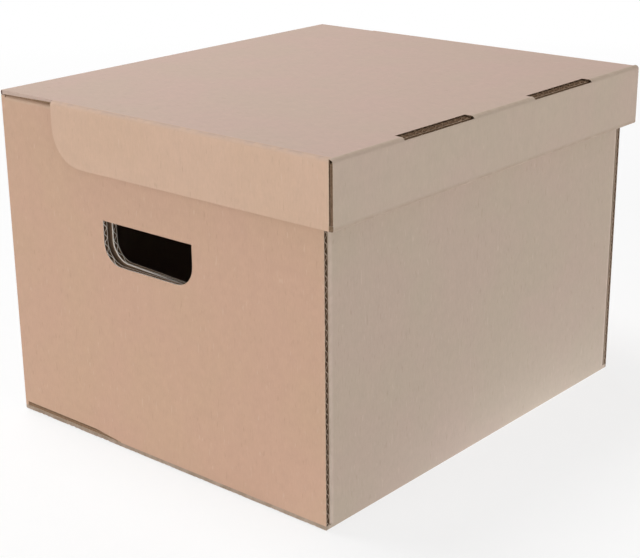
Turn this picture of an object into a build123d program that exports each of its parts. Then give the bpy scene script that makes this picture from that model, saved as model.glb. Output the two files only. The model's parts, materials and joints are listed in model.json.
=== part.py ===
from build123d import *
import os

# Archive box of corrugated board with a hinged lid, set up and closed.
# Sizes are in millimetres. X runs along the lid's crease, the front is at -Y, +Z is up,
# and the origin is the centre of the base.

# Board
BOARD = 4.0
# Flat that a fold leaves on the inner side of the board's edge
FOLD_LAND = 1.0

# Closed box, over the walls, from the floor to the lid's top
BOX_WIDTH = 396.0
BOX_DEPTH = 340.0
BOX_HEIGHT = 280.0

# Rolled ends
PLY_CLEARANCE = 0.5
FLAP_TO_HOLE = 11.0
FLAP_TRIM = 1.0
LOCK_TAB_LENGTH = 60.0
LOCK_TAB_SPACING = 190.0
LOCK_TAB_RECESS = 0.5
LOCK_SLOT_CLEARANCE = 0.5

# Hand holes, set back from the middle towards the crease
HOLE_WIDTH = 97.0
HOLE_HEIGHT = 35.0
HOLE_TOP = 192.0
HOLE_SET_BACK = 6.5
HOLE_RADIUS = 18.0
INNER_HOLE_INSET = 2.0
HAND_FLAP_KERF = 1.0
HAND_FLAP_CREASE_GAP = 0.3
HAND_FLAP_STAND_OFF = 0.3

# Lid
LID_REST_GAP = 0.3
SKIRT_HEIGHT = 50.0
SKIRT_SIDE_GAP = 0.3
SKIRT_SET_BACK = 66.0
SKIRT_CORNER_RADIUS = 30.0
FRONT_SKIRT_GAP = 4.0
CORNER_TAB_LENGTH = 60.0
CORNER_TAB_TRIM = 2.0
CORNER_TAB_GAP = 1.0

# Slots at the lid's front crease and the tabs that fill them
LID_SLOT_LENGTH = 84.0
LID_SLOT_SPACING = 166.0
LID_SLOT_DROP = 2.5
LID_SLOT_CLEARANCE = 1.0
LID_TAB_RECESS = 1.0

# Planes that several pieces share
HALF_WIDTH = BOX_WIDTH / 2
HALF_DEPTH = BOX_DEPTH / 2
FOLD_RADIUS = BOARD - FOLD_LAND
LID_UNDERSIDE = BOX_HEIGHT - BOARD
WALL_TOP = LID_UNDERSIDE - LID_REST_GAP
RIM_UNDERSIDE = WALL_TOP - BOARD
FLAP_PLANE = HALF_WIDTH - BOARD
INNER_PLY_OUTSIDE = FLAP_PLANE - BOARD
INNER_PLY_INSIDE = INNER_PLY_OUTSIDE - BOARD
ROLLED_PLY_HALF_DEPTH = HALF_DEPTH - BOARD - PLY_CLEARANCE
SKIRT_BOTTOM = BOX_HEIGHT - SKIRT_HEIGHT
SKIRT_INSIDE = HALF_WIDTH + SKIRT_SIDE_GAP
SKIRT_OUTSIDE = SKIRT_INSIDE + BOARD
FRONT_PLY_INSIDE = -(HALF_DEPTH + FRONT_SKIRT_GAP)
FRONT_PLY_JOINT = FRONT_PLY_INSIDE - BOARD
LID_FRONT = FRONT_PLY_JOINT - BOARD
FRONT_PLY_HALF_WIDTH = SKIRT_INSIDE - CORNER_TAB_LENGTH - CORNER_TAB_GAP
SKIRT_REAR = HALF_DEPTH - SKIRT_SET_BACK


def block(x_span, y_span, z_span):
    """A flat board between a low and a high plane on each axis."""
    spans = (x_span, y_span, z_span)
    size = [high - low for low, high in spans]
    middle = [(low + high) / 2 for low, high in spans]
    return Pos(*middle) * Box(*size)


def both_ways(half):
    """The span from minus half to plus half."""
    return (-half, half)


def around(middle, length):
    """The span of a length about its middle."""
    return (middle - length / 2, middle + length / 2)


def rounded(board, axis, *places):
    """The board with its fold rounded: for each place, the edge along the axis nearest to it."""
    edges = [board.edges().filter_by(axis).sort_by_distance(place)[0] for place in places]
    return fillet(edges, FOLD_RADIUS)


def hole_outline(inset):
    """A hand hole's outline in the end's plane: square above and round below, drawn in by the inset."""
    width = HOLE_WIDTH - 2 * inset
    height = HOLE_HEIGHT - inset
    outline = Rectangle(width, height)
    lower_corners = outline.vertices().group_by(Axis.Y)[0]
    outline = fillet(lower_corners, HOLE_RADIUS - inset)
    return Pos(HOLE_SET_BACK, HOLE_TOP - height / 2) * outline


def hole_cutter(inset, x_span):
    """The solid that cuts a hand hole between two planes across the end."""
    low, high = x_span
    return extrude(Plane.YZ.offset(low) * hole_outline(inset), amount=high - low)


def lock_tab_spans():
    """Where the inner plies' lock tabs lie along the depth."""
    return [around(side * LOCK_TAB_SPACING / 2, LOCK_TAB_LENGTH) for side in (-1, 1)]


def lid_tab_spans(length):
    """Where the lid's slots, or the tabs in them, lie along the width."""
    return [around(side * LID_SLOT_SPACING / 2, length) for side in (-1, 1)]


def widened(span, clearance):
    """The span with a clearance added at both ends."""
    low, high = span
    return (low - clearance, high + clearance)


def bottom_panel():
    """The floor, rounded below where the four walls fold up, with a slot under each lock tab."""
    board = block(both_ways(HALF_WIDTH), both_ways(HALF_DEPTH), (0, BOARD))
    lower_edges = board.faces().sort_by(Axis.Z)[0].edges()
    board = fillet(lower_edges, FOLD_RADIUS)
    for side in (-1, 1):
        ply = sorted((side * INNER_PLY_INSIDE, side * INNER_PLY_OUTSIDE))
        for tab in lock_tab_spans():
            slot_width = widened(ply, LOCK_SLOT_CLEARANCE)
            slot_length = widened(tab, LOCK_SLOT_CLEARANCE)
            board -= block(slot_width, slot_length, (0, BOARD))
    return board


def front_wall():
    """The front wall stands between the end walls' raw edges and folds into a corner flap at each side."""
    board = block(both_ways(FLAP_PLANE), (-HALF_DEPTH, BOARD - HALF_DEPTH), (BOARD, WALL_TOP))
    corners = [(side * FLAP_PLANE, -HALF_DEPTH, BOX_HEIGHT / 2) for side in (-1, 1)]
    return rounded(board, Axis.Z, *corners)


def end_rim():
    """The strip on top of the right end, over which its outer ply is rolled to the inside."""
    board = block(
        (INNER_PLY_INSIDE, HALF_WIDTH),
        both_ways(ROLLED_PLY_HALF_DEPTH),
        (RIM_UNDERSIDE, WALL_TOP),
    )
    return rounded(board, Axis.Y, (HALF_WIDTH, 0, WALL_TOP), (INNER_PLY_INSIDE, 0, WALL_TOP))


def end_outer_wall():
    """The right end's outer ply: its raw edges show at the corners, and the rim lies in its top."""
    board = block((FLAP_PLANE, HALF_WIDTH), both_ways(HALF_DEPTH), (BOARD, WALL_TOP))
    board -= block((FLAP_PLANE, HALF_WIDTH), both_ways(ROLLED_PLY_HALF_DEPTH), (RIM_UNDERSIDE, WALL_TOP))
    return board - hole_cutter(0, (FLAP_PLANE, HALF_WIDTH))


def end_inner_wall():
    """The right end's inner ply, which hangs from the rim and locks into the floor by two tabs."""
    thickness = (INNER_PLY_INSIDE, INNER_PLY_OUTSIDE)
    board = block(thickness, both_ways(ROLLED_PLY_HALF_DEPTH), (BOARD, RIM_UNDERSIDE))
    for tab in lock_tab_spans():
        board += block(thickness, tab, (LOCK_TAB_RECESS, BOARD))
    return board - hole_cutter(INNER_HOLE_INSET, thickness)


def corner_flap():
    """The flap of the front wall that is trapped between the right end's plies, short of the hand hole."""
    hole_edge = HOLE_SET_BACK + HOLE_WIDTH / 2
    length = HALF_DEPTH - BOARD - hole_edge - FLAP_TO_HOLE
    start = BOARD - HALF_DEPTH
    height = (BOARD + FLAP_TRIM, RIM_UNDERSIDE - FLAP_TRIM)
    return block((INNER_PLY_OUTSIDE, FLAP_PLANE), (start, start + length), height)


def hand_flap():
    """The right inner hole's flap, folded half a turn up about the hole's top edge, flat on the inner ply."""
    inset = INNER_HOLE_INSET + HAND_FLAP_KERF
    face = INNER_PLY_INSIDE - HAND_FLAP_STAND_OFF
    closed = hole_cutter(inset, (face - BOARD, face))
    closed -= block((face - BOARD, face), both_ways(HALF_DEPTH), (HOLE_TOP - HAND_FLAP_CREASE_GAP, HOLE_TOP))
    return mirror(closed, about=Plane.XY.offset(HOLE_TOP))


def lid_top():
    """The lid's top: as wide as the box at the crease, and out to the end skirts where these begin."""
    height = (LID_UNDERSIDE, BOX_HEIGHT)
    board = block(both_ways(SKIRT_INSIDE), (FRONT_PLY_JOINT, SKIRT_REAR), height)
    board += block(both_ways(HALF_WIDTH), (SKIRT_REAR, HALF_DEPTH), height)
    board = rounded(board, Axis.X, (0, HALF_DEPTH, BOX_HEIGHT))
    slot_depth = (FRONT_PLY_JOINT, FRONT_PLY_INSIDE + LID_SLOT_CLEARANCE)
    for slot in lid_tab_spans(LID_SLOT_LENGTH):
        board -= block(slot, slot_depth, height)
    return board


def lid_front_outer():
    """The front skirt's outer ply, from end to end, with its slots at the crease and its middle on the rim."""
    thickness = (LID_FRONT, FRONT_PLY_JOINT)
    board = block(both_ways(SKIRT_OUTSIDE), thickness, (SKIRT_BOTTOM, BOX_HEIGHT))
    board = rounded(board, Axis.X, (0, LID_FRONT, BOX_HEIGHT))
    board -= block(both_ways(FRONT_PLY_HALF_WIDTH), thickness, (SKIRT_BOTTOM, SKIRT_BOTTOM + BOARD))
    for slot in lid_tab_spans(LID_SLOT_LENGTH):
        board -= block(slot, thickness, (BOX_HEIGHT - LID_SLOT_DROP, BOX_HEIGHT))
    return board


def lid_front_rim():
    """The rounded lower edge over which the front skirt is rolled to the inside."""
    board = block(
        both_ways(FRONT_PLY_HALF_WIDTH),
        (LID_FRONT, FRONT_PLY_INSIDE),
        (SKIRT_BOTTOM, SKIRT_BOTTOM + BOARD),
    )
    return rounded(board, Axis.X, (0, LID_FRONT, SKIRT_BOTTOM), (0, FRONT_PLY_INSIDE, SKIRT_BOTTOM))


def lid_front_inner():
    """The front skirt's inner ply, whose two tabs come up through the lid's slots."""
    thickness = (FRONT_PLY_JOINT, FRONT_PLY_INSIDE)
    board = block(both_ways(FRONT_PLY_HALF_WIDTH), thickness, (SKIRT_BOTTOM + BOARD, LID_UNDERSIDE))
    for tab in lid_tab_spans(LID_SLOT_LENGTH - 2 * LID_SLOT_CLEARANCE):
        board += block(tab, thickness, (LID_UNDERSIDE, BOX_HEIGHT - LID_TAB_RECESS))
    return board


def lid_end_skirt():
    """The right end skirt, folded down from the lid's top, with a rounded rear corner below."""
    height = SKIRT_HEIGHT
    length = SKIRT_REAR - FRONT_PLY_JOINT
    outline = Rectangle(length, height)
    rear_corner = outline.vertices().sort_by_distance((length / 2, -height / 2))[0]
    outline = fillet(rear_corner, SKIRT_CORNER_RADIUS)
    middle = Pos((SKIRT_REAR + FRONT_PLY_JOINT) / 2, BOX_HEIGHT - height / 2)
    board = extrude(Plane.YZ.offset(SKIRT_INSIDE) * middle * outline, amount=BOARD)
    return rounded(board, Axis.Y, (SKIRT_OUTSIDE, 0, BOX_HEIGHT))


def lid_corner_tab():
    """The right end skirt's front end, turned in behind the front skirt's outer ply."""
    return block(
        (SKIRT_INSIDE - CORNER_TAB_LENGTH, SKIRT_INSIDE),
        (FRONT_PLY_JOINT, FRONT_PLY_INSIDE),
        (SKIRT_BOTTOM + CORNER_TAB_TRIM, LID_UNDERSIDE),
    )


def to_left(piece):
    """The left end's copy of a right end's piece."""
    return mirror(piece, about=Plane.YZ)


def to_back(piece):
    """The back's copy of a front piece."""
    return mirror(piece, about=Plane.XZ)


def pairs():
    """Each end's pieces under their names, on both sides."""
    right_pieces = {
        "end_{}_rim": end_rim(),
        "end_{}_outer_wall": end_outer_wall(),
        "end_{}_inner_wall": end_inner_wall(),
        "corner_flap_front_{}": corner_flap(),
        "corner_flap_back_{}": to_back(corner_flap()),
        "hand_flap_{}": hand_flap(),
        "lid_end_{}_skirt": lid_end_skirt(),
        "lid_corner_tab_{}": lid_corner_tab(),
    }
    both = {}
    for name, piece in right_pieces.items():
        both[name.format("right")] = piece
        both[name.format("left")] = to_left(piece)
    return both


def pieces():
    """Every piece of the box under its node's name."""
    single = {
        "bottom_panel": bottom_panel(),
        "front_wall": front_wall(),
        "back_wall": to_back(front_wall()),
        "lid_top": lid_top(),
        "lid_front_outer": lid_front_outer(),
        "lid_front_rim": lid_front_rim(),
        "lid_front_inner": lid_front_inner(),
    }
    return {**single, **pairs()}


os.makedirs("parts", exist_ok=True)
for node, piece in pieces().items():
    export_step(piece, f"parts/{node}.step")
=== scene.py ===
import bpy
import json
import math
from mathutils import Matrix, Vector

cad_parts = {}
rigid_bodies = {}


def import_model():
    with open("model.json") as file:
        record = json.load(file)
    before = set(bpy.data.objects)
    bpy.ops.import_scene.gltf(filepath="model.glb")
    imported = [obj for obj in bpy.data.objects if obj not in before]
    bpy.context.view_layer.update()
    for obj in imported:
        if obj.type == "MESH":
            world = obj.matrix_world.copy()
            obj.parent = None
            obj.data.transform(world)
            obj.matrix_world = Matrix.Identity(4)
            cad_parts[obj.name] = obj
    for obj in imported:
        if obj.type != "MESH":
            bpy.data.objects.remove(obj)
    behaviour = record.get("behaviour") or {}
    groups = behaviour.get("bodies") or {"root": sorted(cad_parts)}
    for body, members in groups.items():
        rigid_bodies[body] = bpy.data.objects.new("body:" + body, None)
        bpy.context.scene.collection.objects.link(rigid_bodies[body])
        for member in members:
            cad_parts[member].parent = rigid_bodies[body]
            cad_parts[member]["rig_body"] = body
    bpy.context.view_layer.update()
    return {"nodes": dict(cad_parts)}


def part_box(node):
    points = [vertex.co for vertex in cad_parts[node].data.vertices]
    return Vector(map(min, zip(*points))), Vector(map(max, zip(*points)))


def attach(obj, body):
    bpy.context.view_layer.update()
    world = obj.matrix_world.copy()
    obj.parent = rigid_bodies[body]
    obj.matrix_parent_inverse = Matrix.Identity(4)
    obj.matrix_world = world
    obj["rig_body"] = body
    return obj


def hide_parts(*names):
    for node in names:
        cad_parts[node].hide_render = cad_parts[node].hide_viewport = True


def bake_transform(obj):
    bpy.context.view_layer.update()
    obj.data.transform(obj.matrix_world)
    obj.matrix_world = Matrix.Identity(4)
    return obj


# Archive box of corrugated kraft board. Metres throughout: X runs along the lid's crease,
# the front is at -Y, +Z is up, and the origin is the centre of the base.

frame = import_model()

MM = 0.001
X = Vector((1, 0, 0))
Y = Vector((0, 1, 0))
Z = Vector((0, 0, 1))
# Distances under which two places count as one, and under which points are welded
TINY = 0.01 * MM
WELD_DISTANCE = 0.001 * MM
# Dot products of two directions: above the first they count as one, up to the second as square
SAME_WAY = 0.99
SQUARE = 0.01
# Faces that meet at a smaller angle are shaded as one
SMOOTH_ANGLE = math.radians(40)

# Board: two liners with a fluted medium between them, drawn as thick as its torn edge looks.
# The medium stops a little short of the liners and of the board's raw ends.
FLOOR_LOW, FLOOR_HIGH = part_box("bottom_panel")
BOARD = FLOOR_HIGH.z - FLOOR_LOW.z
LINER = 0.4 * MM
MEDIUM = 0.45 * MM
FLUTE_PITCH = 7.9 * MM
FLUTE_PLAY = 0.02 * MM
RAW_RECESS = 0.25 * MM
# Half flutes that a medium has to spare before its sides are cut
SPARE_COLUMNS = 4

# The handle ends' outer faces stand at this distance from the middle
END_FACE = FLOOR_HIGH.x
# The end skirts stop here, and the lid's raw edges run on to the hinge
SKIRT_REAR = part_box("lid_end_right_skirt")[1].y

# Folds
FOLD_RADIUS = 3 * MM
FOLD_STEPS = 6
TIGHT_FOLD_RADIUS = 1.5 * MM
# The lid's fold at the hinge, wide enough to pass over the back wall's edge as the lid falls back
HINGE_FOLD_RADIUS = 2 * MM
# How far beside its rounding a fold's colour can reach: rubbed paper, and on some panels painted highlight
# and painted shade
CREASE_REACH = 2.5 * MM

# Die cuts; the hand hole's cutter passes through both plies of an end, between two shares of END_FACE
HOLE_CUTTER_REACH = (0.9, 1.1)
HOLE_WIDTH = 97 * MM
HOLE_HEIGHT = 35 * MM
HOLE_TOP = 192 * MM
HOLE_MIDDLE = 6.5 * MM
HOLE_RADIUS = 18 * MM
HOLE_CORNER_STEPS = 12
INNER_HOLE_INSET = 2 * MM
INNER_HOLE_SLANT = 4.5 * MM
FLAP_KERF = 1 * MM
LOCK_SLOT_LENGTH = 61 * MM
LOCK_SLOT_SPACING = 190 * MM
LOCK_SLOT_WIDTH = 5 * MM
LOCK_TAB_LENGTH = 60 * MM
LID_SLOT_LENGTH = 84 * MM
LID_SLOT_SPACING = 166 * MM
LID_SLOT_REAR = -173 * MM
LID_SLOT_DROP = 2 * MM
LID_TAB_LENGTH = 82 * MM
LID_TAB_SINK = 1 * MM
SKIRT_CORNER_RADIUS = 30 * MM
SKIRT_CORNER_STEPS = 14
OVERCUT = 1 * MM

# The open stretch of the creases under the handle ends, where the liner was cut through. In front
# of SEAM_CLOSING it narrows, to SEAM_END of its height.
SEAM_SPAN = (49 * MM, 167 * MM)
SEAM_HEIGHTS = (3.6 * MM, 5 * MM)
SEAM_DEPTH = 0.5 * MM
SEAM_SLOPE = 0.9 * MM
SEAM_CLOSING = 80 * MM
SEAM_END = 0.2
SEAM_BED = 0.5 * MM

# The torn lower edge of the ends
TORN_SPAN = (-165 * MM, 167 * MM)
TORN_STEPS = 150
TORN_HEIGHT = 1.7 * MM
# Shares of that height: the edge's middle, and the swing of each of its two ripples
TORN_MIDDLE = 0.4
TORN_SWING = 0.25
# How far the ripples turn from step to step, and how far the fast one leads, in radians
SLOW_RIPPLE = 0.37
FAST_RIPPLE = 2.3
FAST_LEAD = 1
# How much of the tear is left under the open stretch of the crease, and in front of it
TORN_UNDER_SEAM = 0.9
TORN_BEFORE_SEAM = 0.7

# The top liner's lip, which the die turned down over the lid's raw edges beside the hinge
LIP_PAPER = 0.3 * MM
LIP_AT_SKIRT = 2 * MM
LIP_AT_HINGE = 3.4 * MM
LIP_RADIUS = 0.9 * LIP_PAPER
LIP_STEPS = 3
CRUSHED_PROUD = 0.1 * MM

# The pale fibres that the die raised round the inner hand holes, drawn near white as a painted highlight
BURR_WIDTH = 0.9 * MM
BURR_PROUD = 0.08 * MM

# The crushed paper that joins two panels over a moving crease
CREASE_STEPS = 14
CREASE_PAPER = 0.3 * MM
LID_CREASE_RADIUS = 2 * MM
FLAP_CREASE_DROP = 1.5 * MM
FLAP_CREASE_INSET = 1 * MM


def only(*pieces):
    """Leaves these objects as the selected ones, the first of them active."""
    for item in bpy.context.selected_objects:
        item.select_set(False)
    for piece in pieces:
        piece.select_set(True)
    bpy.context.view_layer.objects.active = pieces[0]


def settle(piece, name):
    """Names an object and moves its place, turn and size into its mesh."""
    only(piece)
    piece.name = name
    bpy.ops.object.transform_apply(location=True, rotation=True, scale=True)
    return piece


def block(name, low, high):
    """A box between its lowest and its highest corner."""
    bpy.ops.mesh.primitive_cube_add(size=1, location=(low + high) / 2, scale=high - low)
    return settle(bpy.context.object, name)


def finish_with(piece, kind, **settings):
    """Adds a modifier with its settings and applies it."""
    only(piece)
    modifier = piece.modifiers.new(kind.title(), kind)
    for name, value in settings.items():
        setattr(modifier, name, value)
    bpy.ops.object.modifier_apply(modifier=modifier.name)


def join(name, *pieces):
    """Joins pieces into the first one."""
    only(*pieces)
    bpy.ops.object.join()
    pieces[0].name = name
    return pieces[0]


def pick(piece, kind, wanted):
    """In edit mode, selects the faces or edges for which wanted(middle, direction) holds."""
    bpy.ops.mesh.select_mode(type=kind)
    bpy.ops.mesh.select_all(action="DESELECT")
    bpy.ops.object.mode_set(mode="OBJECT")
    mesh = piece.data
    if kind == "FACE":
        for face in mesh.polygons:
            face.select = wanted(face.center, face.normal)
    else:
        for edge in mesh.edges:
            first, last = (mesh.vertices[end].co for end in edge.vertices)
            edge.select = wanted((first + last) / 2, (last - first).normalized())
    bpy.ops.object.mode_set(mode="EDIT")


def smooth(piece):
    """Shades a piece as smooth, apart from its sharp edges."""
    only(piece)
    bpy.ops.object.shade_smooth_by_angle(angle=SMOOTH_ANGLE)


def axis_of(direction):
    """The number of the axis along which a direction lies."""
    return max(range(3), key=lambda axis: abs(direction[axis]))


def reach(low, high, direction):
    """How far a box reaches in a direction along an axis."""
    return max(low.dot(direction), high.dot(direction))


def drawn_in(low, high, direction, distance):
    """The box's corners with its side in a direction moved inwards by a distance."""
    low, high = low.copy(), high.copy()
    axis = axis_of(direction)
    if direction[axis] > 0:
        high[axis] -= distance
    else:
        low[axis] += distance
    return low, high


def is_folded(direction, folds):
    """Whether a panel's side in this direction is one of its folds."""
    return any(direction.dot(fold) > SAME_WAY for fold in folds)


def liner(name, low, high, facing, folds, radius, materials):
    """One liner: a box's side in the direction it faces, rounded over the folds, as thick as the paper."""
    sheet = block(name, low, high)
    level = reach(low, high, facing)

    def is_fold_edge(middle, direction):
        if abs(middle.dot(facing) - level) > TINY:
            return False
        return any(abs(middle.dot(fold) - reach(low, high, fold)) < TINY for fold in folds)

    def is_hidden(middle, normal):
        return normal.dot(facing) <= SQUARE and not is_folded(normal, folds)

    bpy.ops.object.mode_set(mode="EDIT")
    if folds:
        pick(sheet, "EDGE", is_fold_edge)
        bpy.ops.mesh.bevel(offset=radius, segments=FOLD_STEPS, affect="EDGES")
    pick(sheet, "FACE", is_hidden)
    bpy.ops.mesh.delete(type="FACE")
    # A row of points where the fold's colour beside a fold can begin
    for fold in folds:
        beside = fold * (reach(low, high, fold) - radius - CREASE_REACH)
        bpy.ops.mesh.select_all(action="SELECT")
        bpy.ops.mesh.bisect(plane_co=beside, plane_no=fold)
    bpy.ops.object.mode_set(mode="OBJECT")
    for material in materials:
        sheet.data.materials.append(material)
    # The paper's raw ends take the second material, and its hidden side the third
    finish_with(
        sheet,
        "SOLIDIFY",
        thickness=LINER,
        offset=-1,
        use_even_offset=True,
        material_offset=2,
        material_offset_rim=1,
    )
    return sheet


def medium(name, low, high, facing, across, materials):
    """The fluted paper: a zigzag grid that subdivision rounds to a wave between the liners."""
    along = facing.cross(across)
    size = high - low
    width = abs(size.dot(across))
    length = abs(size.dot(along))
    half_flute = FLUTE_PITCH / 2
    columns = math.ceil(width / half_flute) + SPARE_COLUMNS
    swing = (abs(size.dot(facing)) - MEDIUM) / 2 - FLUTE_PLAY
    # A cubic spline through a zigzag keeps a third of its height
    zigzag = 3 * swing
    bpy.ops.mesh.primitive_grid_add(x_subdivisions=columns, y_subdivisions=1, size=1)
    bpy.context.object.scale = (columns * half_flute, length, 1)
    sheet = settle(bpy.context.object, name)
    bpy.ops.object.mode_set(mode="EDIT")
    bpy.ops.mesh.select_mode(type="VERT")
    bpy.ops.mesh.select_all(action="DESELECT")
    bpy.ops.object.mode_set(mode="OBJECT")
    start = -columns * half_flute / 2
    for point in sheet.data.vertices:
        point.select = round((point.co.x - start) / half_flute) % 2 == 1
    bpy.ops.object.mode_set(mode="EDIT")
    bpy.ops.transform.translate(value=(0, 0, 2 * zigzag))
    bpy.ops.mesh.select_all(action="SELECT")
    bpy.ops.transform.translate(value=(0, 0, -zigzag))
    bpy.ops.object.mode_set(mode="OBJECT")
    finish_with(sheet, "SUBSURF", levels=2, render_levels=2)
    bpy.ops.object.mode_set(mode="EDIT")
    for end in (-1, 1):
        bpy.ops.mesh.select_all(action="SELECT")
        bpy.ops.mesh.bisect(plane_co=(end * width / 2, 0, 0), plane_no=(end, 0, 0), clear_outer=True)
    bpy.ops.object.mode_set(mode="OBJECT")
    for material in materials:
        sheet.data.materials.append(material)
    finish_with(
        sheet,
        "SOLIDIFY",
        thickness=MEDIUM,
        offset=0,
        use_even_offset=True,
        material_offset_rim=1,
    )
    turn = Matrix((across, along, facing)).transposed().to_4x4()
    sheet.matrix_world = Matrix.Translation((low + high) / 2) @ turn
    return settle(sheet, name)


def weld(sheet):
    """Makes one point of those that lie as good as on each other, where a cut just touches an edge."""
    only(sheet)
    bpy.ops.object.mode_set(mode="EDIT")
    bpy.ops.mesh.select_all(action="SELECT")
    bpy.ops.mesh.remove_doubles(threshold=WELD_DISTANCE)
    bpy.ops.object.mode_set(mode="OBJECT")


def cut(sheet, cutters):
    """Cuts shapes out of a sheet of paper, with their walls as raw paper unless they have their own."""
    for cutter in cutters:
        if not cutter.data.materials:
            cutter.data.materials.append(RAW_EDGE)
        finish_with(
            sheet, "BOOLEAN", operation="DIFFERENCE", solver="EXACT", object=cutter, material_mode="TRANSFER"
        )
    weld(sheet)


def board(
    node,
    facing,
    across,
    folds=(),
    paper="end",
    cutters=(),
    outer_cutters=(),
    inner_cutters=(),
    radius=FOLD_RADIUS,
    edge=None,
    wear_and_painted_light=None,
):
    """A panel in a node's stead: two liners and a medium, its flutes side by side along across.

    The cutters go through the whole panel, and the outer and inner ones through one liner. The edge is
    the material of its raw ends, and the last argument says where the fold colour goes, if not just over the
    folds: rubbed paper, and on some panels painted highlight and painted shade.
    """
    low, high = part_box(node)
    inner_low, inner_high = low, high
    core_low, core_high = low, high
    for fold in folds:
        inner_low, inner_high = drawn_in(inner_low, inner_high, fold, LINER)
        core_low, core_high = drawn_in(core_low, core_high, fold, radius)
    for direction in (facing, -facing):
        core_low, core_high = drawn_in(core_low, core_high, direction, LINER)
    along = facing.cross(across)
    for direction in (along, -along, across, -across):
        if not is_folded(direction, folds):
            core_low, core_high = drawn_in(core_low, core_high, direction, RAW_RECESS)
    outside, inside = PAPERS[paper]
    edge = edge or RAW_EDGE
    # The liners' hidden sides take the fluting's darker brown, painted shade in the flutes' hollows
    raw = (edge, FLUTING_AND_CAVITY_SHADE)
    outer = liner(node + "_board", low, high, facing, folds, radius, (outside, *raw))
    inner = liner(node + "_inner_liner", inner_low, inner_high, -facing, (), radius, (inside, *raw))
    core = medium(node + "_medium", core_low, core_high, facing, across, (FLUTING_AND_CAVITY_SHADE, edge))
    cut(outer, (*cutters, *outer_cutters))
    cut(inner, (*cutters, *inner_cutters))
    cut(core, cutters)
    for cutter in (*cutters, *outer_cutters, *inner_cutters):
        bpy.data.objects.remove(cutter)
    piece = join(node + "_board", outer, inner, core)
    mark_creases(piece, low, high, facing, *(wear_and_painted_light or (folds, radius, radius)))
    smooth(piece)
    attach(piece, frame["nodes"][node]["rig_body"])
    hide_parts(node)
    return piece


def round_edges(piece, wanted, radius, steps):
    """Rounds the edges for which wanted(middle, direction) holds."""
    only(piece)
    bpy.ops.object.mode_set(mode="EDIT")
    pick(piece, "EDGE", wanted)
    bpy.ops.mesh.bevel(offset=radius, segments=steps, affect="EDGES")
    bpy.ops.object.mode_set(mode="OBJECT")
    return piece


def hole_cutter(side, inset, slant=0):
    """A hand hole's shape through one end: square above, round below, drawn in by the inset."""
    half_width = HOLE_WIDTH / 2 - inset
    bottom = HOLE_TOP - HOLE_HEIGHT + inset
    ends = sorted(side * share * END_FACE for share in HOLE_CUTTER_REACH)
    low = Vector((ends[0], HOLE_MIDDLE - half_width, bottom))
    high = Vector((ends[1], HOLE_MIDDLE + half_width, HOLE_TOP))
    shape = block("hole_cutter", low, high)
    # The hole's walls are pale cut paper, lightened further as a painted highlight
    shape.data.materials.append(PALE_CUT_WITH_HIGHLIGHT)
    bpy.ops.object.mode_set(mode="EDIT")
    pick(shape, "EDGE", lambda middle, direction: middle.z < bottom + TINY and middle.y < low.y + TINY)
    bpy.ops.transform.translate(value=(0, 0, -slant))
    bpy.ops.object.mode_set(mode="OBJECT")
    return round_edges(
        shape,
        lambda middle, direction: abs(direction.x) > SAME_WAY and middle.z < bottom + TINY,
        HOLE_RADIUS - inset,
        HOLE_CORNER_STEPS,
    )


def mark_creases(piece, low, high, facing, folds, width, depth):
    """Gives points near a fold, down to a depth, a crease value that grows from 0 to 1 over a width."""
    crease = piece.data.attributes.new("crease", "FLOAT", "POINT")
    level = reach(low, high, facing)
    for index, point in enumerate(piece.data.vertices):
        for fold in folds:
            nearness = 1 - (reach(low, high, fold) - point.co.dot(fold)) / width
            if nearness > 0 and point.co.dot(facing) > level - depth - TINY:
                crease.data[index].value = max(crease.data[index].value, nearness)


# Materials


def linear(hex_colour):
    """An sRGB hex colour as linear red, green, blue and alpha."""
    parts = [int(hex_colour[index:index + 2], 16) / 255 for index in (1, 3, 5)]
    curve = [part / 12.92 if part <= 0.04045 else ((part + 0.055) / 1.055) ** 2.4 for part in parts]
    return (*curve, 1.0)


def add_node(owner, kind, inputs=None, **settings):
    """Adds a shader node, sets its properties, and sets or links its inputs by name or number."""
    node = owner.node_tree.nodes.new(kind)
    for name, value in settings.items():
        setattr(node, name, value)
    for name, value in (inputs or {}).items():
        if isinstance(value, bpy.types.NodeSocket):
            owner.node_tree.links.new(value, node.inputs[name])
        else:
            node.inputs[name].default_value = value
    return node


def new_material(name):
    """An empty node material."""
    material = bpy.data.materials.new(name)
    material.use_nodes = True
    material.node_tree.nodes.clear()
    return material


# A colour Mix node's inputs for the share and the two colours, and its output
SHARE, FIRST, SECOND, MIXED = 0, 6, 7, 2
# Bands that a wave pattern draws over a length of 1 at a scale of 1
WAVE_BANDS = 20 / (2 * math.pi)
# How high the ridges over the flutes stand beside the fibres
RIDGE_SHARE = 0.6
# Moves the flecks' pattern away from the fibres'
FLECK_SHIFT = (3.1, 1.7, 5.3)
WHITE = linear("#FFFFFF")


def grain_scale(grain, length, width):
    """A pattern's scale on each axis, for marks of a length along the grain and a width across it."""
    return [1 / length if abs(part) > SAME_WAY else 1 / width for part in grain]


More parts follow.
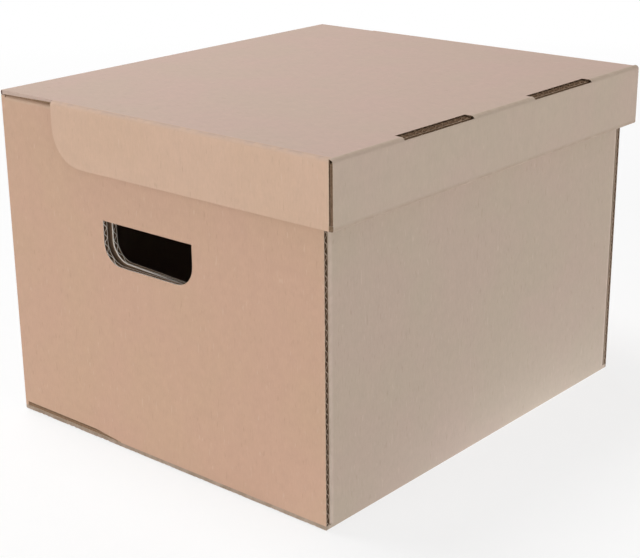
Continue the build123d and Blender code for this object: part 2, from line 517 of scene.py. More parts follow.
def kraft_liner(name, across, grain, rosy, green, fold):
    """Kraft linerboard glued over flutes: matt paper with clouds of colour, fibres, flecks and ridges."""
    material = new_material(name)
    place = add_node(material, "ShaderNodeTexCoord").outputs["Object"]
    # The pulp drifts between a rosier and a greener brown, in clouds about 70 mm across
    clouds = add_node(
        material,
        "ShaderNodeTexNoise",
        {"Vector": place, "Scale": 1 / (70 * MM), "Detail": 3.0, "Roughness": 0.5},
    ).outputs["Fac"]
    cloud_share = add_node(
        material, "ShaderNodeMapRange", {"Value": clouds, "From Min": 0.38, "From Max": 0.62}
    ).outputs["Result"]
    pulp = add_node(
        material,
        "ShaderNodeMix",
        {SHARE: cloud_share, FIRST: linear(rosy), SECOND: linear(green)},
        data_type="RGBA",
    ).outputs[MIXED]
    # Fibres 1.2 mm wide and 5 mm long along the grain, drawn coarse enough to show as the faintest streaks
    fibre_place = add_node(
        material, "ShaderNodeMapping", {"Vector": place, "Scale": grain_scale(grain, 5 * MM, 1.2 * MM)}
    ).outputs["Vector"]
    fibres = add_node(
        material, "ShaderNodeTexNoise", {"Vector": fibre_place, "Scale": 1.0, "Detail": 3.0, "Roughness": 0.6}
    ).outputs["Fac"]
    # Mottle 9 mm across, where the sheet took up the glue
    mottle = add_node(
        material,
        "ShaderNodeTexNoise",
        {"Vector": place, "Scale": 1 / (9 * MM), "Detail": 4.0, "Roughness": 0.6},
    ).outputs["Fac"]
    both = add_node(material, "ShaderNodeMath", {0: fibres, 1: mottle}, operation="ADD").outputs[0]
    brightness = add_node(
        material,
        "ShaderNodeMapRange",
        {"Value": both, "From Min": 0.7, "From Max": 1.3, "To Min": 0.96, "To Max": 1.04},
    ).outputs["Result"]
    paper = add_node(
        material, "ShaderNodeHueSaturation", {"Value": brightness, "Color": pulp}
    ).outputs["Color"]
    # Flecks: single pale and dark fibre bundles, the peaks of a pattern of 1.6 mm by 7 mm
    fleck_scale = grain_scale(grain, 7 * MM, 1.6 * MM)
    fleck_place = add_node(
        material, "ShaderNodeMapping", {"Vector": place, "Scale": fleck_scale, "Location": FLECK_SHIFT}
    ).outputs["Vector"]
    bundles = add_node(
        material, "ShaderNodeTexNoise", {"Vector": fleck_place, "Scale": 1.0, "Detail": 0.0}
    ).outputs["Fac"]
    pale_share = add_node(
        material,
        "ShaderNodeMapRange",
        {"Value": bundles, "From Min": 0.76, "From Max": 0.86, "To Min": 0.0, "To Max": 0.14},
    ).outputs["Result"]
    dark_share = add_node(
        material,
        "ShaderNodeMapRange",
        {"Value": bundles, "From Min": 0.25, "From Max": 0.15, "To Min": 0.0, "To Max": 0.12},
    ).outputs["Result"]
    pale_flecked = add_node(
        material,
        "ShaderNodeMix",
        {SHARE: pale_share, FIRST: paper, SECOND: linear("#E2D2C0")},
        data_type="RGBA",
    ).outputs[MIXED]
    flecked = add_node(
        material,
        "ShaderNodeMix",
        {SHARE: dark_share, FIRST: pale_flecked, SECOND: linear("#7A5C44")},
        data_type="RGBA",
    ).outputs[MIXED]
    # Folds are stretched and unevenly rubbed, which takes their colour towards the sheet's middle layer. The
    # fold colours also hold painted light: a painted highlight on the walls' side folds, and painted shade on
    # the front skirt's folds and on the floor's folds under the ends
    crease = add_node(
        material, "ShaderNodeAttribute", attribute_name="crease", attribute_type="GEOMETRY"
    ).outputs["Fac"]
    fold_unevenness = add_node(
        material, "ShaderNodeMapRange", {"Value": mottle, "From Min": 0.38, "From Max": 0.58, "To Min": 0.5}
    ).outputs["Result"]
    wear_and_painted_light = add_node(material, "ShaderNodeMath", {0: crease, 1: fold_unevenness}, operation="MULTIPLY").outputs[0]
    colour = add_node(
        material, "ShaderNodeMix", {SHARE: wear_and_painted_light, FIRST: flecked, SECOND: linear(fold)}, data_type="RGBA"
    ).outputs[MIXED]
    # The liner sinks a little between the flute tips, which shows as ridges one flute apart
    ridges = add_node(
        material,
        "ShaderNodeTexWave",
        {
            "Vector": place,
            "Scale": 1 / (WAVE_BANDS * FLUTE_PITCH),
            "Distortion": 0.4,
            "Detail": 2.0,
            "Detail Scale": 0.3,
        },
        bands_direction="XYZ"[axis_of(across)],
    ).outputs["Fac"]
    height = add_node(
        material, "ShaderNodeMath", {0: ridges, 1: RIDGE_SHARE, 2: fibres}, operation="MULTIPLY_ADD"
    ).outputs[0]
    bump = add_node(
        material, "ShaderNodeBump", {"Height": height, "Strength": 0.2, "Distance": 0.06 * MM}
    ).outputs["Normal"]
    gloss = add_node(
        material,
        "ShaderNodeMapRange",
        {"Value": mottle, "From Min": 0.3, "From Max": 0.7, "To Min": 0.82, "To Max": 0.92},
    ).outputs["Result"]
    shader = add_node(
        material,
        "ShaderNodeBsdfPrincipled",
        {"Base Color": colour, "Roughness": gloss, "Normal": bump, "IOR": 1.5, "Specular IOR Level": 0.2},
    ).outputs["BSDF"]
    add_node(material, "ShaderNodeOutputMaterial", {"Surface": shader})
    return material


def rough_paper(name, dark, light, grain_size):
    """Uncoated paper seen at a cut or inside the board: dull, fuzzy and uneven."""
    material = new_material(name)
    place = add_node(material, "ShaderNodeTexCoord").outputs["Object"]
    fuzz = add_node(
        material,
        "ShaderNodeTexNoise",
        {"Vector": place, "Scale": 1 / grain_size, "Detail": 3.0, "Roughness": 0.7},
    ).outputs["Fac"]
    share = add_node(
        material, "ShaderNodeMapRange", {"Value": fuzz, "From Min": 0.3, "From Max": 0.7}
    ).outputs["Result"]
    colour = add_node(
        material,
        "ShaderNodeMix",
        {SHARE: share, FIRST: linear(dark), SECOND: linear(light)},
        data_type="RGBA",
    ).outputs[MIXED]
    bump = add_node(
        material, "ShaderNodeBump", {"Height": fuzz, "Strength": 0.5, "Distance": 0.2 * MM}
    ).outputs["Normal"]
    shader = add_node(
        material,
        "ShaderNodeBsdfPrincipled",
        {"Base Color": colour, "Roughness": 0.95, "Normal": bump, "IOR": 1.5, "Specular IOR Level": 0.15},
    ).outputs["BSDF"]
    add_node(material, "ShaderNodeOutputMaterial", {"Surface": shader})
    return material


# Cool white reflector cards at the foot of the front and of the left end: middle, reach and strength
CARDS = (
    ((0.09, -0.18, 0), (0.4, 0.12, 1), 1.25),
    ((-0.2, 0, 0), (0.12, 0.25, 1), 0.2),
)
# How far from the box's middle the floor starts to run into the white background, and where it is white
WHITE_FROM = 0.7
WHITE_AT = 1.8


def card_glow(owner, place, middle, reach_out, strength):
    """A card's glow at a place on the floor: full at its middle, none at its rim."""
    offset = add_node(
        owner, "ShaderNodeVectorMath", {0: place, 1: middle}, operation="SUBTRACT"
    ).outputs["Vector"]
    share = add_node(
        owner, "ShaderNodeVectorMath", {0: offset, 1: reach_out}, operation="DIVIDE"
    ).outputs["Vector"]
    away = add_node(owner, "ShaderNodeVectorMath", {0: share}, operation="LENGTH").outputs["Value"]
    return add_node(
        owner, "ShaderNodeMapRange", {"Value": away, "To Min": strength, "To Max": 0.0}
    ).outputs["Result"]


def floor_paint():
    """White studio floor: plain matt white that keeps a soft shadow and fills the background."""
    material = new_material("studio_floor_matt_white")
    place = add_node(material, "ShaderNodeTexCoord").outputs["Object"]
    # Clouds 25 mm across, which keep the white from looking dead
    clouds = add_node(
        material, "ShaderNodeTexNoise", {"Vector": place, "Scale": 1 / (25 * MM), "Detail": 2.0}
    ).outputs["Fac"]
    colour = add_node(
        material,
        "ShaderNodeMix",
        {SHARE: clouds, FIRST: linear("#F6F6F6"), SECOND: linear("#FAFAFA")},
        data_type="RGBA",
    ).outputs[MIXED]
    paint = add_node(
        material,
        "ShaderNodeBsdfPrincipled",
        {"Base Color": colour, "Roughness": 0.9, "Specular IOR Level": 0.1},
    ).outputs["BSDF"]
    glow = add_node(material, "ShaderNodeEmission", {"Color": WHITE, "Strength": 1.0}).outputs["Emission"]
    # The shadow stays near the box, and further out the floor runs into the white background
    away = add_node(material, "ShaderNodeVectorMath", {0: place}, operation="LENGTH").outputs["Value"]
    white = add_node(
        material,
        "ShaderNodeMapRange",
        {"Value": away, "From Min": WHITE_FROM, "From Max": WHITE_AT, "To Min": 0.75, "To Max": 1.0},
    ).outputs["Result"]
    share = add_node(
        material, "ShaderNodeMath", {0: seen_directly(material), 1: white}, operation="MULTIPLY"
    ).outputs[0]
    mixed = add_node(material, "ShaderNodeMixShader", {0: share, 1: paint, 2: glow}).outputs["Shader"]
    # The reflector cards' light, which only the box receives, lifts the feet of its walls
    front_card, left_card = (card_glow(material, place, *card) for card in CARDS)
    cards = add_node(material, "ShaderNodeMath", {0: front_card, 1: left_card}, operation="ADD").outputs[0]
    unseen = add_node(
        material, "ShaderNodeMath", {0: 1.0, 1: seen_directly(material)}, operation="SUBTRACT"
    ).outputs[0]
    strength = add_node(material, "ShaderNodeMath", {0: cards, 1: unseen}, operation="MULTIPLY").outputs[0]
    card_light = add_node(
        material, "ShaderNodeEmission", {"Color": linear("#E6F2FF"), "Strength": strength}
    ).outputs["Emission"]
    lit = add_node(material, "ShaderNodeAddShader", {0: mixed, 1: card_light}).outputs["Shader"]
    add_node(material, "ShaderNodeOutputMaterial", {"Surface": lit})
    return material


def seen_directly(owner):
    """1 where a surface is seen straight, mirrored or refracted, and 0 where it only lights the box."""
    path = add_node(owner, "ShaderNodeLightPath")
    glossy = add_node(
        owner,
        "ShaderNodeMath",
        {0: path.outputs["Is Camera Ray"], 1: path.outputs["Is Glossy Ray"]},
        operation="MAXIMUM",
    ).outputs[0]
    return add_node(
        owner, "ShaderNodeMath", {0: glossy, 1: path.outputs["Is Transmission Ray"]}, operation="MAXIMUM"
    ).outputs[0]


# The paper's fibres stick out at a cut: pale round the hand holes, lightened further there as a painted
# highlight, grey along the panels' ends, painted darker as shade in the lid's slots, on the tabs' raw ends
# and on the skirt's feet, and crushed flat and brown at the lid's raw edges beside the hinge and where a
# crease has cracked open, where that brown is painted shade of the crease
PALE_CUT_WITH_HIGHLIGHT = rough_paper("kraft_liner_pale_cut_painted_highlight", "#E6DBCE", "#FAF3E9", 1.5 * MM)
RAW_EDGE = rough_paper("kraft_liner_raw_edge", "#A28D78", "#C2AF9B", 1.5 * MM)
PAINTED_SHADE_EDGE = rough_paper("kraft_liner_edge_painted_shade", "#6A5441", "#86705A", 1.5 * MM)
CRUSHED_EDGE_AND_SEAM_SHADE = rough_paper("kraft_board_crushed_edge_and_painted_seam_shade", "#7A614B", "#937861", 2.5 * MM)
# The fluting's own darker brown, which on the liners' hidden sides is painted shade in the flutes' hollows
FLUTING_AND_CAVITY_SHADE = rough_paper("fluting_medium_and_painted_cavity_shade", "#765D47", "#967A63", 2.5 * MM)
WALL_INSIDE = kraft_liner("kraft_liner_inside_walls", X, Z, "#B5A395", "#B3A393", "#B5A394")
END_INSIDE = kraft_liner("kraft_liner_inside_ends", Z, Z, "#B8A393", "#B5A391", "#B7A393")
FLAP_INSIDE = kraft_liner("kraft_liner_inside_corner_flaps", Y, Z, "#B8A393", "#B5A391", "#B7A393")
# The hidden side of the ends' inner plies and hand flaps: a darker brown, painted shade between the plies
SHADE_BETWEEN_PLIES = kraft_liner("kraft_liner_painted_shade_between_plies", Z, Z, "#8A705B", "#866E59", "#88705B")
# The outside of the handle ends and of what is folded in with them, browner and warmer than the other
# panels: a painted warm light from the left
WARM_LIT_END_COLOURS = ("#C4A18B", "#C3A28A", "#C3A690")
# The sheet's outer and inner liner, by the panels that show them
PAPERS = {
    # Front and back: flutes and grain stand upright, and the folds at their sides are rubbed pale, with a
    # painted highlight where they turn towards the light
    "wall": (kraft_liner("kraft_liner_walls", X, Z, "#BCA899", "#BAA998", "#D2C0B2"), WALL_INSIDE),
    # Front skirt and its rim, whose folds are painted darker as shade
    "front_skirt": (
        kraft_liner("kraft_liner_front_skirt", X, Z, "#BFAB9C", "#BDAC9B", "#B09D8C"),
        WALL_INSIDE,
    ),
    # Lid: flutes and grain run from front to back
    "lid": (kraft_liner("kraft_liner_lid", X, Y, "#BFA69A", "#BDA799", "#BDA999"), WALL_INSIDE),
    # Floor, whose lower edges under the ends are painted a dull brown as shade
    "floor": (kraft_liner("kraft_liner_floor", X, Y, "#BCA899", "#BAA998", "#968473"), WALL_INSIDE),
    # Handle ends: flutes lie one above the other
    "end": (kraft_liner("kraft_liner_ends", Z, Z, *WARM_LIT_END_COLOURS), END_INSIDE),
    # Inner ply of the ends and hand flaps, whose hidden side is painted darker as the shade between the plies
    "inner_ply": (kraft_liner("kraft_liner_inner_plies", Z, Z, *WARM_LIT_END_COLOURS), SHADE_BETWEEN_PLIES),
    # End skirts, a little paler: painted light, for the way they tilt up towards the light
    "skirt": (kraft_liner("kraft_liner_end_skirts", Z, Z, "#CBAC96", "#CAAB94", "#B59E90"), END_INSIDE),
    # Corner flaps: flutes stand side by side along the ends
    "flap": (kraft_liner("kraft_liner_corner_flaps", Y, Z, *WARM_LIT_END_COLOURS), FLAP_INSIDE),
}


# Box


def seam(side):
    """The cutter that opens a stretch of an end's bottom crease; its upper side slopes up and outwards."""
    ends = sorted((side * (END_FACE - SEAM_DEPTH), side * (END_FACE + OVERCUT)))
    low = Vector((ends[0], SEAM_SPAN[0], SEAM_HEIGHTS[0]))
    high = Vector((ends[1], SEAM_SPAN[1], SEAM_HEIGHTS[1]))
    cutter = block("seam", low, high)
    bpy.ops.object.mode_set(mode="EDIT")
    pick(cutter, "EDGE", lambda middle, direction: abs(middle.x) > END_FACE and middle.z > high.z - TINY)
    bpy.ops.transform.translate(value=(0, 0, SEAM_SLOPE * (SEAM_DEPTH + OVERCUT) / SEAM_DEPTH))
    # The open stretch closes at its front end
    bpy.ops.mesh.select_all(action="SELECT")
    bpy.ops.mesh.bisect(plane_co=(0, SEAM_CLOSING, 0), plane_no=Y)
    bpy.ops.object.mode_set(mode="OBJECT")
    for point in cutter.data.vertices:
        if point.co.y < low.y + TINY:
            point.co.z = low.z + (point.co.z - low.z) * SEAM_END
    return cutter


def seam_bed(side):
    """The crushed board that shows brown in an open stretch of an end's bottom crease; its brown is painted
    shade of the crease.
    """
    outer = END_FACE - SEAM_DEPTH
    ends = sorted((side * outer, side * (outer - SEAM_BED)))
    low = Vector((ends[0], SEAM_SPAN[0], SEAM_HEIGHTS[0] - SEAM_BED))
    high = Vector((ends[1], SEAM_SPAN[1], SEAM_HEIGHTS[1] + SEAM_SLOPE + SEAM_BED))
    bed = block("seam_bed", low, high)
    bed.data.materials.append(CRUSHED_EDGE_AND_SEAM_SHADE)
    return bed


def torn_edge(side):
    """A cutter under an end's lower edge whose upper side is uneven, as rubbed and torn liner is."""
    start, end = TORN_SPAN
    inner = side * (END_FACE - FOLD_RADIUS)
    outer = side * (END_FACE + OVERCUT)
    bpy.ops.mesh.primitive_grid_add(x_subdivisions=1, y_subdivisions=TORN_STEPS, size=1)
    sheet = bpy.context.object
    sheet.scale = (2 * OVERCUT, end - start, 1)
    sheet.rotation_euler = (0, -math.pi / 2, 0)
    sheet.location = (inner, (start + end) / 2, -OVERCUT)
    settle(sheet, "torn_edge")
    step = (end - start) / TORN_STEPS
    for point in sheet.data.vertices:
        if point.co.z > -OVERCUT:
            place = round((point.co.y - start) / step)
            slow = TORN_SWING * math.sin(SLOW_RIPPLE * place)
            fast = TORN_SWING * math.sin(FAST_RIPPLE * place + FAST_LEAD)
            uneven = TORN_MIDDLE + slow + fast
            left_over = TORN_UNDER_SEAM if point.co.y > SEAM_SPAN[0] else TORN_BEFORE_SEAM
            point.co.z = TORN_HEIGHT * uneven * left_over
    bpy.ops.object.mode_set(mode="EDIT")
    bpy.ops.mesh.select_all(action="SELECT")
    bpy.ops.mesh.extrude_region_move(TRANSFORM_OT_translate={"value": (outer - inner, 0, 0)})
    bpy.ops.mesh.select_all(action="SELECT")
    bpy.ops.mesh.normals_make_consistent(inside=False)
    bpy.ops.object.mode_set(mode="OBJECT")
    return sheet


def box_floor():
    """The floor, folded up into the four walls, with its lock slots."""
    inner_low, inner_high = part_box("end_right_inner_wall")
    ply_middle = (inner_low.x + inner_high.x) / 2
    half = Vector((LOCK_SLOT_WIDTH, LOCK_SLOT_LENGTH, BOARD + 2 * OVERCUT)) / 2
    slots = []
    for side in (-1, 1):
        for tab in (-1, 1):
            middle = Vector((side * ply_middle, tab * LOCK_SLOT_SPACING / 2, BOARD / 2))
            slots.append(block("lock_slot", middle - half, middle + half))
    torn = [cutter for side in (-1, 1) for cutter in (seam(side), torn_edge(side))]
    folds = (X, -X, Y, -Y)
    # The floor's fold colour goes on the folds under the ends, through the board: painted shade along their
    # lower edges
    wear_and_painted_light = ((X, -X), TIGHT_FOLD_RADIUS, BOARD)
    board("bottom_panel", -Z, X, folds, "floor", slots, torn, radius=TIGHT_FOLD_RADIUS, wear_and_painted_light=wear_and_painted_light)


def box_walls():
    """The front and back walls, rounded and rubbed pale where they turn into their corner flaps, with a
    painted highlight there.
    """
    wear_and_painted_light = ((X, -X), FOLD_RADIUS + CREASE_REACH, FOLD_RADIUS)
    for node, facing in (("front_wall", -Y), ("back_wall", Y)):
        board(node, facing, X, (X, -X), "wall", wear_and_painted_light=wear_and_painted_light)


def gaps_beside(spacing, length, low_end, high_end):
    """The stretches beside and between two tabs whose middles stand a spacing apart."""
    inner = spacing / 2 - length / 2
    outer = spacing / 2 + length / 2
    return ((low_end, -outer), (-inner, inner), (outer, high_end))


def outer_ply(side, word):
    """A handle end's outer ply, cut for the hand hole and the rim, with the open crease at its foot."""
    rim_low, rim_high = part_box(f"end_{word}_rim")
    notch = block("rim_notch", rim_low - OVERCUT * X, rim_high + OVERCUT * (X + Z))
    cutters = (notch, hole_cutter(side, 0), seam(side))
    piece = board(f"end_{word}_outer_wall", side * X, Z, cutters=cutters)
    join(piece.name, piece, seam_bed(side))


def burr(side, surface):
    """The pale raised fibres round an inner hand hole, on a surface that faces outwards, near white as a
    painted highlight.
    """
    ring = hole_cutter(side, INNER_HOLE_INSET - BURR_WIDTH, INNER_HOLE_SLANT)
    middle = side * END_FACE
    for point in ring.data.vertices:
        outwards = (point.co.x - middle) * side > 0
        point.co.x = side * (surface + (BURR_PROUD if outwards else -BURR_PROUD))
    hole = hole_cutter(side, INNER_HOLE_INSET, INNER_HOLE_SLANT)
    for point in hole.data.vertices:
        if point.co.z > HOLE_TOP - TINY:
            point.co.z += OVERCUT
    cut(ring, (hole,))
    bpy.data.objects.remove(hole)
    return ring


def inner_ply(side, word):
    """A handle end's inner ply, with two lock tabs and a hole a little askew behind the outer one."""
    node = f"end_{word}_inner_wall"
    low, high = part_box(node)
    cutters = [hole_cutter(side, INNER_HOLE_INSET, INNER_HOLE_SLANT)]
    spans = gaps_beside(LOCK_SLOT_SPACING, LOCK_TAB_LENGTH, low.y - OVERCUT, high.y + OVERCUT)
    for start, end in spans:
        gap_low = Vector((low.x - OVERCUT, start, low.z - OVERCUT))
        gap_high = Vector((high.x + OVERCUT, end, BOARD))
        cutters.append(block("beside_tab", gap_low, gap_high))
    piece = board(node, -side * X, Z, (), "inner_ply", cutters)
    join(piece.name, piece, burr(side, max(abs(low.x), abs(high.x))))


def corner_cutter(low, high, edge, radius, steps):
    """What rounding one edge, along X, takes off a panel: the corner outside the rounded outline."""
    grown = OVERCUT * X
    outline = block("outline", low - 2 * grown, high + 2 * grown)
    round_edges(
        outline,
        lambda middle, direction: abs(direction.x) > SAME_WAY and (middle - edge).yz.length < TINY,
        radius,
        steps,
    )
    size = Vector((high.x - low.x, 2 * radius, 2 * radius))
    middle = Vector(((low.x + high.x) / 2, edge.y, edge.z))
    corner = block("corner", middle - size / 2 - grown, middle + size / 2 + grown)
    cut(corner, (outline,))
    bpy.data.objects.remove(outline)
    return corner


def hand_flap(side, word):
    """The inner hole's flap, folded up: its outline is the hole's, upside down."""
    node = f"hand_flap_{word}"
    low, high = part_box(node)
    radius = HOLE_RADIUS - INNER_HOLE_INSET - FLAP_KERF
    corners = [
        corner_cutter(low, high, Vector((0, end, high.z)), radius, HOLE_CORNER_STEPS)
        for end in (low.y, high.y)
    ]
    board(node, side * X, Z, (), "inner_ply", corners)


def crease_strip(name, profile, across, ends, paper):
    """Paper that bridges a moving crease: a strip along a profile."""
    bpy.ops.mesh.primitive_grid_add(x_subdivisions=1, y_subdivisions=len(profile) - 1, size=1)
    strip = bpy.context.object
    strip.name = name
    # The grid's rows run from -0.5 to 0.5 along Y, and each has a point on either side of the middle
    for point in strip.data.vertices:
        place = profile[round((point.co.y + 0.5) * (len(profile) - 1))]
        point.co = place + across * ends[point.co.x > 0]
    strip.data.materials.append(paper)
    finish_with(strip, "SOLIDIFY", thickness=CREASE_PAPER, offset=0)
    smooth(strip)
    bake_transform(strip)


def flap_crease(side, word):
    """The paper under a hand flap's crease: half an oval from the ply's outer face to the flap's."""
    low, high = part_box(f"hand_flap_{word}")
    ply_low, ply_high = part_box(f"end_{word}_inner_wall")
    outer = max(abs(ply_low.x), abs(ply_high.x)) - LINER / 2
    inner = min(abs(low.x), abs(high.x)) + LINER / 2
    profile = []
    for step in range(CREASE_STEPS + 1):
        turn = math.pi * step / CREASE_STEPS
        reach_out = (outer + inner) / 2 + (outer - inner) / 2 * math.cos(turn)
        profile.append(Vector((side * reach_out, 0, low.z - FLAP_CREASE_DROP * math.sin(turn))))
    ends = (low.y + FLAP_CREASE_INSET, high.y - FLAP_CREASE_INSET)
    # Its paper is the plies' darker hidden side, painted shade between the plies
    crease_strip(f"{word}_flap_crease", profile, Y, ends, SHADE_BETWEEN_PLIES)


def box_ends():
    """Both handle ends: two plies, the rim they are rolled over, the hand flap and the corner flaps."""
    for side, word in ((-1, "left"), (1, "right")):
        outer_ply(side, word)
        board(f"end_{word}_rim", Z, X, (X, -X))
        inner_ply(side, word)
        hand_flap(side, word)
        flap_crease(side, word)
        for place in ("front", "back"):
            board(f"corner_flap_{place}_{word}", side * X, Y, (), "flap")


# Lid


def lid_slots(lowest):
    """The cutters of the two slots at the lid's front crease, down to a height."""
    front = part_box("lid_front_outer")[0].y - OVERCUT
    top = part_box("lid_top")[1].z + OVERCUT
    cutters = []
    for side in (-1, 1):
        middle = side * LID_SLOT_SPACING / 2
        low = Vector((middle - LID_SLOT_LENGTH / 2, front, lowest))
        high = Vector((middle + LID_SLOT_LENGTH / 2, LID_SLOT_REAR, top))
        slot = block("lid_slot", low, high)
        # The slots' walls are painted darker as shade
        slot.data.materials.append(PAINTED_SHADE_EDGE)
        cutters.append(slot)
    return cutters


def liner_lip(side):
    """The top liner's lip down over one raw edge of the lid, narrow at the skirt and wide at the hinge."""
    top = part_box("lid_top")[1]
    outer = END_FACE + LIP_PAPER
    ends = sorted((side * END_FACE, side * outer))
    low = Vector((ends[0], SKIRT_REAR, top.z - LIP_AT_SKIRT))
    high = Vector((ends[1], top.y - HINGE_FOLD_RADIUS, top.z))
    lip = block("liner_lip", low, high)
    bpy.ops.object.mode_set(mode="EDIT")
    pick(lip, "EDGE", lambda middle, direction: middle.y > high.y - TINY and middle.z < low.z + TINY)
    bpy.ops.transform.translate(value=(0, 0, LIP_AT_SKIRT - LIP_AT_HINGE))
    bpy.ops.object.mode_set(mode="OBJECT")
    round_edges(
        lip,
        lambda middle, direction: abs(middle.x) > outer - TINY and middle.z > high.z - TINY,
        LIP_RADIUS,
        LIP_STEPS,
    )
    lip.data.materials.append(PAPERS["lid"][0])
    return lip


def crushed_edge(side):
    """The lid's raw edge below the liner's lip, crushed shut by the die."""
    lid_low, lid_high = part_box("lid_top")
    ends = sorted((side * (END_FACE - LINER), side * (END_FACE + CRUSHED_PROUD)))
    low = Vector((ends[0], SKIRT_REAR, lid_low.z))
    high = Vector((ends[1], lid_high.y - HINGE_FOLD_RADIUS, lid_high.z - LIP_AT_SKIRT / 2))
    edge = block("crushed_edge", low, high)
    edge.data.materials.append(CRUSHED_EDGE_AND_SEAM_SHADE)
    return edge


def lid_panel():
    """The lid's top, narrower at the crease, where it ends in a raw edge at each side."""
    low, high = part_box("lid_top")
    cutters = lid_slots(low.z - OVERCUT)
    for side in (-1, 1):
        ends = sorted((side * END_FACE, side * (high.x + OVERCUT)))
        beside_low = Vector((ends[0], SKIRT_REAR, low.z - OVERCUT))
        beside_high = Vector((ends[1], high.y + OVERCUT, high.z + OVERCUT))
        beside = block("beside_crease", beside_low, beside_high)
        beside.data.materials.append(CRUSHED_EDGE_AND_SEAM_SHADE)
        cutters.append(beside)
    piece = board("lid_top", Z, X, (Y,), "lid", cutters, radius=HINGE_FOLD_RADIUS)
    join(piece.name, piece, liner_lip(-1), liner_lip(1), crushed_edge(-1), crushed_edge(1))


def lid_crease():
    """The lid's crease, outside and inside: the back wall's two liners run on into the lid's."""
    wall_low, wall_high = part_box("back_wall")
    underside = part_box("lid_top")[0].z
    half_gap = (underside - wall_high.z) / 2
    middle = wall_high.z + half_gap
    outer = []
    inner = []
    for step in range(CREASE_STEPS + 1):
        share = step / CREASE_STEPS
        outer.append(Vector((0, wall_high.y - LINER / 2, middle + (2 * share - 1) * (half_gap + LINER))))
        turn = math.pi / 2 * share
        inner_y = wall_low.y + LINER / 2 - LID_CREASE_RADIUS * (1 - math.cos(turn))
        inner_z = underside + LINER / 2 - LID_CREASE_RADIUS * (1 - math.sin(turn))
        inner.append(Vector((0, inner_y, inner_z)))
    ends = (-END_FACE + FOLD_RADIUS, END_FACE - FOLD_RADIUS)
    crease_strip("lid_crease_outside", outer, X, ends, PAPERS["wall"][0])
    inner_ends = (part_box("end_left_inner_wall")[1].x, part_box("end_right_inner_wall")[0].x)
    crease_strip("lid_crease_inside", inner, X, inner_ends, WALL_INSIDE)


def skirt_foot(side):
    """The front skirt's lower edge beside the rim, pressed shut and rounded as the rim's fold is."""
    low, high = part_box("lid_front_outer")
    rim_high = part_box("lid_front_rim")[1]
    ends = sorted((side * high.x, side * rim_high.x))
    foot = block("skirt_foot", Vector((ends[0], low.y, low.z)), Vector((ends[1], high.y, rim_high.z)))
    round_edges(
        foot,
        lambda middle, direction: middle.y < low.y + TINY and middle.z < low.z + TINY,
        TIGHT_FOLD_RADIUS,
        FOLD_STEPS,
    )
    # The foot's end faces are painted darker as shade, and its rounded front edge takes the skirt's darker
    # fold colour, painted shade too
    foot.data.materials.append(PAPERS["front_skirt"][0])
    foot.data.materials.append(PAINTED_SHADE_EDGE)
    for face in foot.data.polygons:
        face.material_index = int(face.normal.x * side > SAME_WAY)
    mark_creases(foot, low, high, -Z, (-Y,), TIGHT_FOLD_RADIUS, TIGHT_FOLD_RADIUS)
    smooth(foot)
    return foot


def lid_front():
    """The front skirt: outer ply, rolled lower rim and inner ply."""
    low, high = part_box("lid_front_outer")
    rim_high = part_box("lid_front_rim")[1]
    notch_low = Vector((low.x - OVERCUT, low.y - OVERCUT, low.z - OVERCUT))
    notch_high = Vector((high.x + OVERCUT, rim_high.y + OVERCUT, rim_high.z))
    notch = block("foot_notch", notch_low, notch_high)
    cutters = (*lid_slots(high.z - LID_SLOT_DROP), notch)
    piece = board("lid_front_outer", -Y, X, (Z,), "front_skirt", cutters)
    join(piece.name, piece, skirt_foot(-1), skirt_foot(1))
    board("lid_front_rim", -Z, X, (Y, -Y), "front_skirt", radius=TIGHT_FOLD_RADIUS)
    inner_skirt()


def inner_skirt():
    """The front skirt's inner ply, whose two tabs stand in the lid's slots."""
    low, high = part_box("lid_front_inner")
    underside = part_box("lid_top")[0].z
    cutters = []
    for start, end in gaps_beside(LID_SLOT_SPACING, LID_TAB_LENGTH, low.x - OVERCUT, high.x + OVERCUT):
        gap_low = Vector((start, low.y - OVERCUT, underside))
        gap_high = Vector((end, high.y + OVERCUT, high.z + OVERCUT))
        cutters.append(block("beside_tab", gap_low, gap_high))
    # The tabs' front liner is rubbed away where it stands above the slots' front edge
    rubbed_low = Vector((low.x - OVERCUT, low.y - OVERCUT, high.z - LID_SLOT_DROP + LID_TAB_SINK))
    rubbed_high = Vector((high.x + OVERCUT, (low.y + high.y) / 2, high.z + OVERCUT))
    wear_and_painted_light = block("rubbed_liner", rubbed_low, rubbed_high)
    # The tabs' raw ends are painted darker as shade
    board("lid_front_inner", Y, X, (), "wall", cutters, (), (wear_and_painted_light,), edge=PAINTED_SHADE_EDGE)


def lid_ends():
    """The end skirts with their rounded rear corners, and their front ends turned in."""
    for side, word in ((-1, "left"), (1, "right")):
        node = f"lid_end_{word}_skirt"
        low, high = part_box(node)
        rear = Vector((0, high.y, low.z))
        corner = corner_cutter(low, high, rear, SKIRT_CORNER_RADIUS, SKIRT_CORNER_STEPS)
        board(node, side * X, Z, (Z,), "skirt", (corner,))
        board(f"lid_corner_tab_{word}", -Y, Z)


box_floor()
box_walls()
box_ends()
lid_panel()
lid_crease()
lid_front()
lid_ends()


# Studio

FLOOR_SIZE = 16.0
FLOOR_DROP = 0.4 * MM
EVEN_LIGHT = 0.3
# The soft lamps: name, place, size across and watts
LAMPS = (
    ("top_softbox", (-0.2, 0.68, 2.1), 0.9, 25.5),
    ("left_softbox", (-2.3, 0.2, 0.65), 1.2, 17.4),
    ("front_softbox", (-0.6, -2.4, 0.65), 1.2, 15.2),
    ("low_softbox", (1.3, -1.1, 0.2), 0.4, 3.5),
    ("rear_softbox", (1.7, 2.0, 1.1), 1.6, 10),
)
# The height at which the lamps aim, just above the box's middle
LAMP_AIM = 144 * MM


def studio_floor():
    """A wide white floor just under the box."""
    bpy.ops.mesh.primitive_plane_add(size=FLOOR_SIZE, location=(0, 0, -FLOOR_DROP))
    floor = settle(bpy.context.object, "studio_floor")
    floor.data.materials.append(floor_paint())


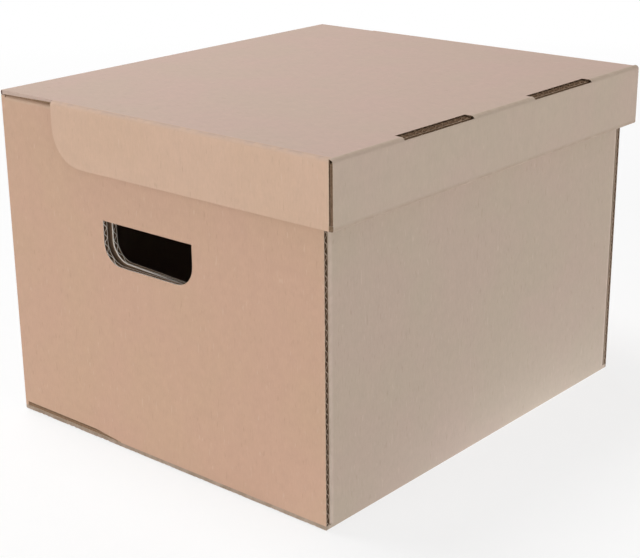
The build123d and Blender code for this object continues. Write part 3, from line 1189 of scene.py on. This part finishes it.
def softbox(name, place, size, watts):
    """A round soft lamp that faces the box and that the camera doesn't see."""
    bpy.ops.object.light_add(type="AREA", location=place)
    lamp = bpy.context.object
    lamp.name = name
    lamp.data.shape = "DISK"
    lamp.data.size = size
    lamp.data.energy = watts
    lamp.visible_camera = False
    facing = LAMP_AIM * Z - Vector(place)
    lamp.rotation_euler = facing.to_track_quat("-Z", "Y").to_euler()


def studio_light():
    """Even light from all round, the soft lamps, and a background that is seen as white."""
    world = bpy.data.worlds.new("studio_world")
    bpy.context.scene.world = world
    world.use_nodes = True
    world.node_tree.nodes.clear()
    even, white = (
        add_node(world, "ShaderNodeBackground", {"Color": WHITE, "Strength": strength}).outputs["Background"]
        for strength in (EVEN_LIGHT, 1.0)
    )
    mixed = add_node(
        world, "ShaderNodeMixShader", {0: seen_directly(world), 1: even, 2: white}
    ).outputs["Shader"]
    add_node(world, "ShaderNodeOutputWorld", {"Surface": mixed})
    for lamp in LAMPS:
        softbox(*lamp)


# The camera, from a fit to the corners in the photograph, with its angles in degrees
CAMERA_PLACE = (-0.9135, -0.7812, 0.5239)
CAMERA_HEADING = 49.32
CAMERA_TILT = 19.33
CAMERA_ROLL = -0.52
PICTURE_WIDTH = 640
FOCAL_LENGTH_PIXELS = 1467
SENSOR_WIDTH_MM = 36


def camera():
    """The camera at the photograph's angle: heading from +Y towards +X, tilt below level."""
    bpy.ops.object.camera_add(location=CAMERA_PLACE)
    item = bpy.context.object
    item.name = "photo_camera"
    turn = Matrix.Rotation(-math.radians(CAMERA_HEADING), 4, "Z")
    tilt = Matrix.Rotation(math.radians(90 - CAMERA_TILT), 4, "X")
    roll = Matrix.Rotation(math.radians(CAMERA_ROLL), 4, "Z")
    item.matrix_world = Matrix.Translation(CAMERA_PLACE) @ turn @ tilt @ roll
    item.data.sensor_width = SENSOR_WIDTH_MM
    item.data.lens = FOCAL_LENGTH_PIXELS / PICTURE_WIDTH * SENSOR_WIDTH_MM
    bpy.context.scene.camera = item


studio_floor()
studio_light()
camera()
bpy.context.scene.view_settings.view_transform = "Standard"
